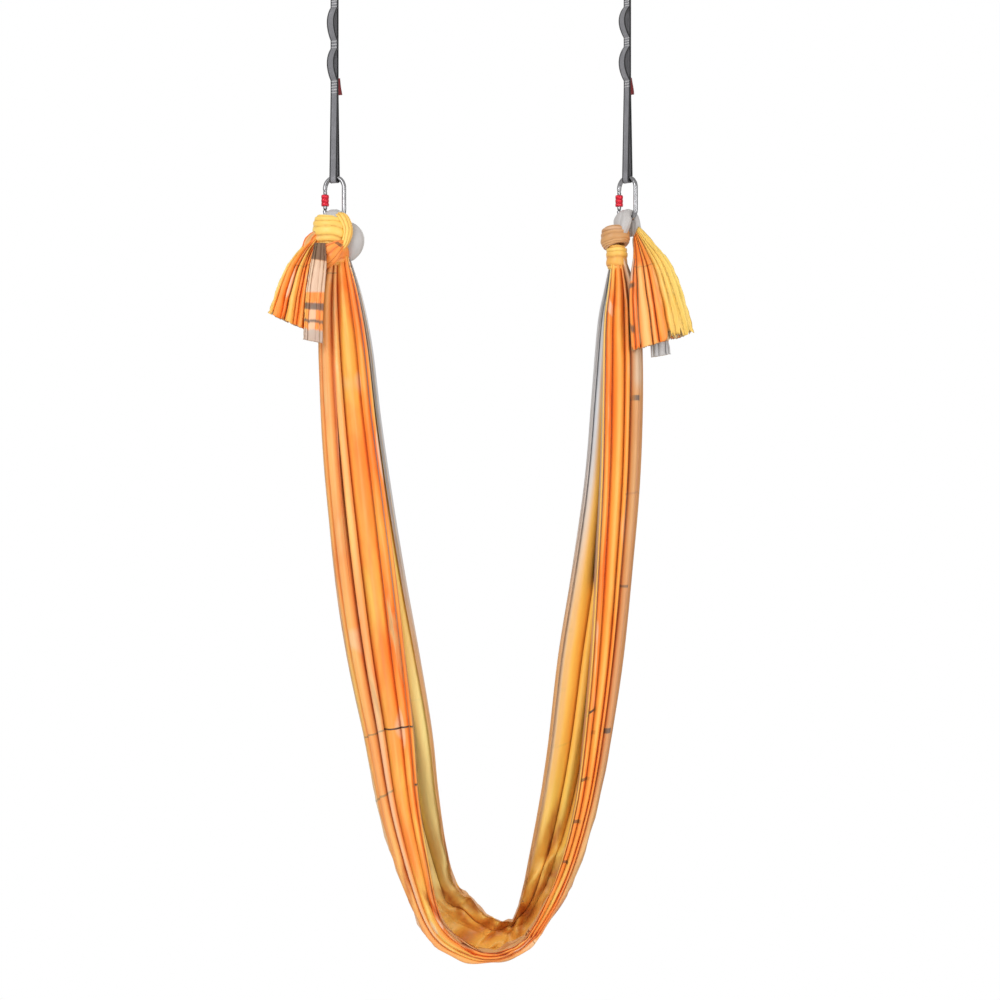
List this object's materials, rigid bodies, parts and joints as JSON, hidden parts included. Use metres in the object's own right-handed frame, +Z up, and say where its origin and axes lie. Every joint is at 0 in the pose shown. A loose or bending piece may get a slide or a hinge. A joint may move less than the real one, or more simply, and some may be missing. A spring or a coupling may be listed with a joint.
{
  "type": "aerial hammock",
  "caption": "Wide nylon cloth gathered into a hanging sling, knotted to screw-gate carabiners on pocketed webbing straps under two ceiling plates.",
  "frame": {"origin": "on the ceiling plane, midway between the two ceiling plates", "axes": "+Z up, +X to the right along the line between the plates, -Y to the front"},
  "size_m": [0.9596, 0.1494, 2.4408],
  "materials": {
    "polished_steel": "polished",
    "zinc_plate": "satin zinc plating",
    "red_anodised": "red anodised, satin",
    "spring_steel": "drawn wire",
    "grey_webbing": "woven webbing",
    "label_cloth": "matt woven tape",
    "sling_nylon": "satin nylon tricot"
  },
  "bodies": {
    "root": {"ceiling_plate_left": "zinc_plate", "ceiling_eye_left": "zinc_plate", "ceiling_plate_right": "zinc_plate", "ceiling_eye_right": "zinc_plate"},
    "hanger_left": {"upper_carabiner_left": "polished_steel", "upper_rivet_left": "polished_steel"},
    "upper_gate_left": {"upper_gate_left": "polished_steel", "upper_catch_pin_left": "polished_steel", "upper_gate_spring_left": "spring_steel"},
    "upper_sleeve_left": {"upper_sleeve_left": "red_anodised"},
    "strap_left": {"strap_left": "grey_webbing", "label_tab_left": "label_cloth"},
    "hanger_right": {"upper_carabiner_right": "polished_steel", "upper_rivet_right": "polished_steel"},
    "upper_gate_right": {"upper_gate_right": "polished_steel", "upper_catch_pin_right": "polished_steel", "upper_gate_spring_right": "spring_steel"},
    "upper_sleeve_right": {"upper_sleeve_right": "red_anodised"},
    "strap_right": {"strap_right": "grey_webbing", "label_tab_right": "label_cloth"},
    "sling": {"lower_carabiner_left": "polished_steel", "lower_rivet_left": "polished_steel", "cloth_eye_left": "sling_nylon", "knot_wrap_left": "sling_nylon", "knot_collar_left": "sling_nylon", "cloth_tail_left": "sling_nylon", "lower_carabiner_right": "polished_steel", "lower_rivet_right": "polished_steel", "cloth_eye_right": "sling_nylon", "knot_wrap_right": "sling_nylon", "knot_collar_right": "sling_nylon", "cloth_tail_right": "sling_nylon", "knot_lobe_left": "sling_nylon", "sling_cloth": "sling_nylon"},
    "lower_gate_left": {"lower_gate_left": "polished_steel", "lower_catch_pin_left": "polished_steel", "lower_gate_spring_left": "spring_steel"},
    "lower_sleeve_left": {"lower_sleeve_left": "red_anodised"},
    "lower_gate_right": {"lower_gate_right": "polished_steel", "lower_catch_pin_right": "polished_steel", "lower_gate_spring_right": "spring_steel"},
    "lower_sleeve_right": {"lower_sleeve_right": "red_anodised"}
  },
  "joints": [
    {"name": "hanger_left_swing", "type": "hinge", "parent": "root", "child": "hanger_left", "pos_m": [-0.3367, 0, -0.04], "axis": [1, 0, 0], "range_deg": [-60, 60]},
    {"name": "upper_gate_left_hinge", "type": "hinge", "parent": "hanger_left", "child": "upper_gate_left", "pos_m": [-0.3367, -0.02475, -0.0992], "axis": [-1, 0, 0], "range_deg": [0, 25], "stiffness_Nm_per_rad": 0.5, "springref_deg": -22.92},
    {"name": "upper_sleeve_left_slide", "type": "slide", "parent": "upper_gate_left", "child": "upper_sleeve_left", "axis": [0, 0, 1], "range_m": [0, 0.0094]},
    {"name": "strap_left_sway", "type": "hinge", "parent": "hanger_left", "child": "strap_left", "pos_m": [-0.3367, 0, -0.12895], "axis": [0, 1, 0], "range_deg": [-12, 12]},
    {"name": "hanger_right_swing", "type": "hinge", "parent": "root", "child": "hanger_right", "pos_m": [0.3367, 0, -0.04], "axis": [1, 0, 0], "range_deg": [-60, 60]},
    {"name": "upper_gate_right_hinge", "type": "hinge", "parent": "hanger_right", "child": "upper_gate_right", "pos_m": [0.3367, -0.02475, -0.0992], "axis": [-1, 0, 0], "range_deg": [0, 25], "stiffness_Nm_per_rad": 0.5, "springref_deg": -22.92},
    {"name": "upper_sleeve_right_slide", "type": "slide", "parent": "upper_gate_right", "child": "upper_sleeve_right", "axis": [0, 0, 1], "range_m": [0, 0.0094]},
    {"name": "strap_right_sway", "type": "hinge", "parent": "hanger_right", "child": "strap_right", "pos_m": [0.3367, 0, -0.12895], "axis": [0, 1, 0], "range_deg": [-12, 12]},
    {"name": "sling_level", "type": "hinge", "parent": "strap_left", "child": "sling", "pos_m": [-0.3367, 0, -0.63825], "axis": [0, 1, 0], "range_deg": [-12, 12]},
    {"name": "lower_gate_left_hinge", "type": "hinge", "parent": "sling", "child": "lower_gate_left", "pos_m": [-0.35931, 0.01007, -0.708], "axis": [0.4067, 0.9135, 0], "range_deg": [0, 25], "stiffness_Nm_per_rad": 0.5, "springref_deg": -22.92},
    {"name": "lower_sleeve_left_slide", "type": "slide", "parent": "lower_gate_left", "child": "lower_sleeve_left", "axis": [0, 0, 1], "range_m": [0, 0.0094]},
    {"name": "lower_gate_right_hinge", "type": "hinge", "parent": "sling", "child": "lower_gate_right", "pos_m": [0.3189, 0.01719, -0.708], "axis": [0.6947, 0.7193, 0], "range_deg": [0, 25], "stiffness_Nm_per_rad": 0.5, "springref_deg": -22.92},
    {"name": "lower_sleeve_right_slide", "type": "slide", "parent": "lower_gate_right", "child": "lower_sleeve_right", "axis": [0, 0, 1], "range_m": [0, 0.0094]}
  ],
  "couplings": [
    {"joint": "hanger_right_swing", "follows": "hanger_left_swing", "ratio": 1},
    {"joint": "strap_right_sway", "follows": "strap_left_sway", "ratio": 1},
    {"joint": "sling_level", "follows": "strap_left_sway", "ratio": -1}
  ]
}
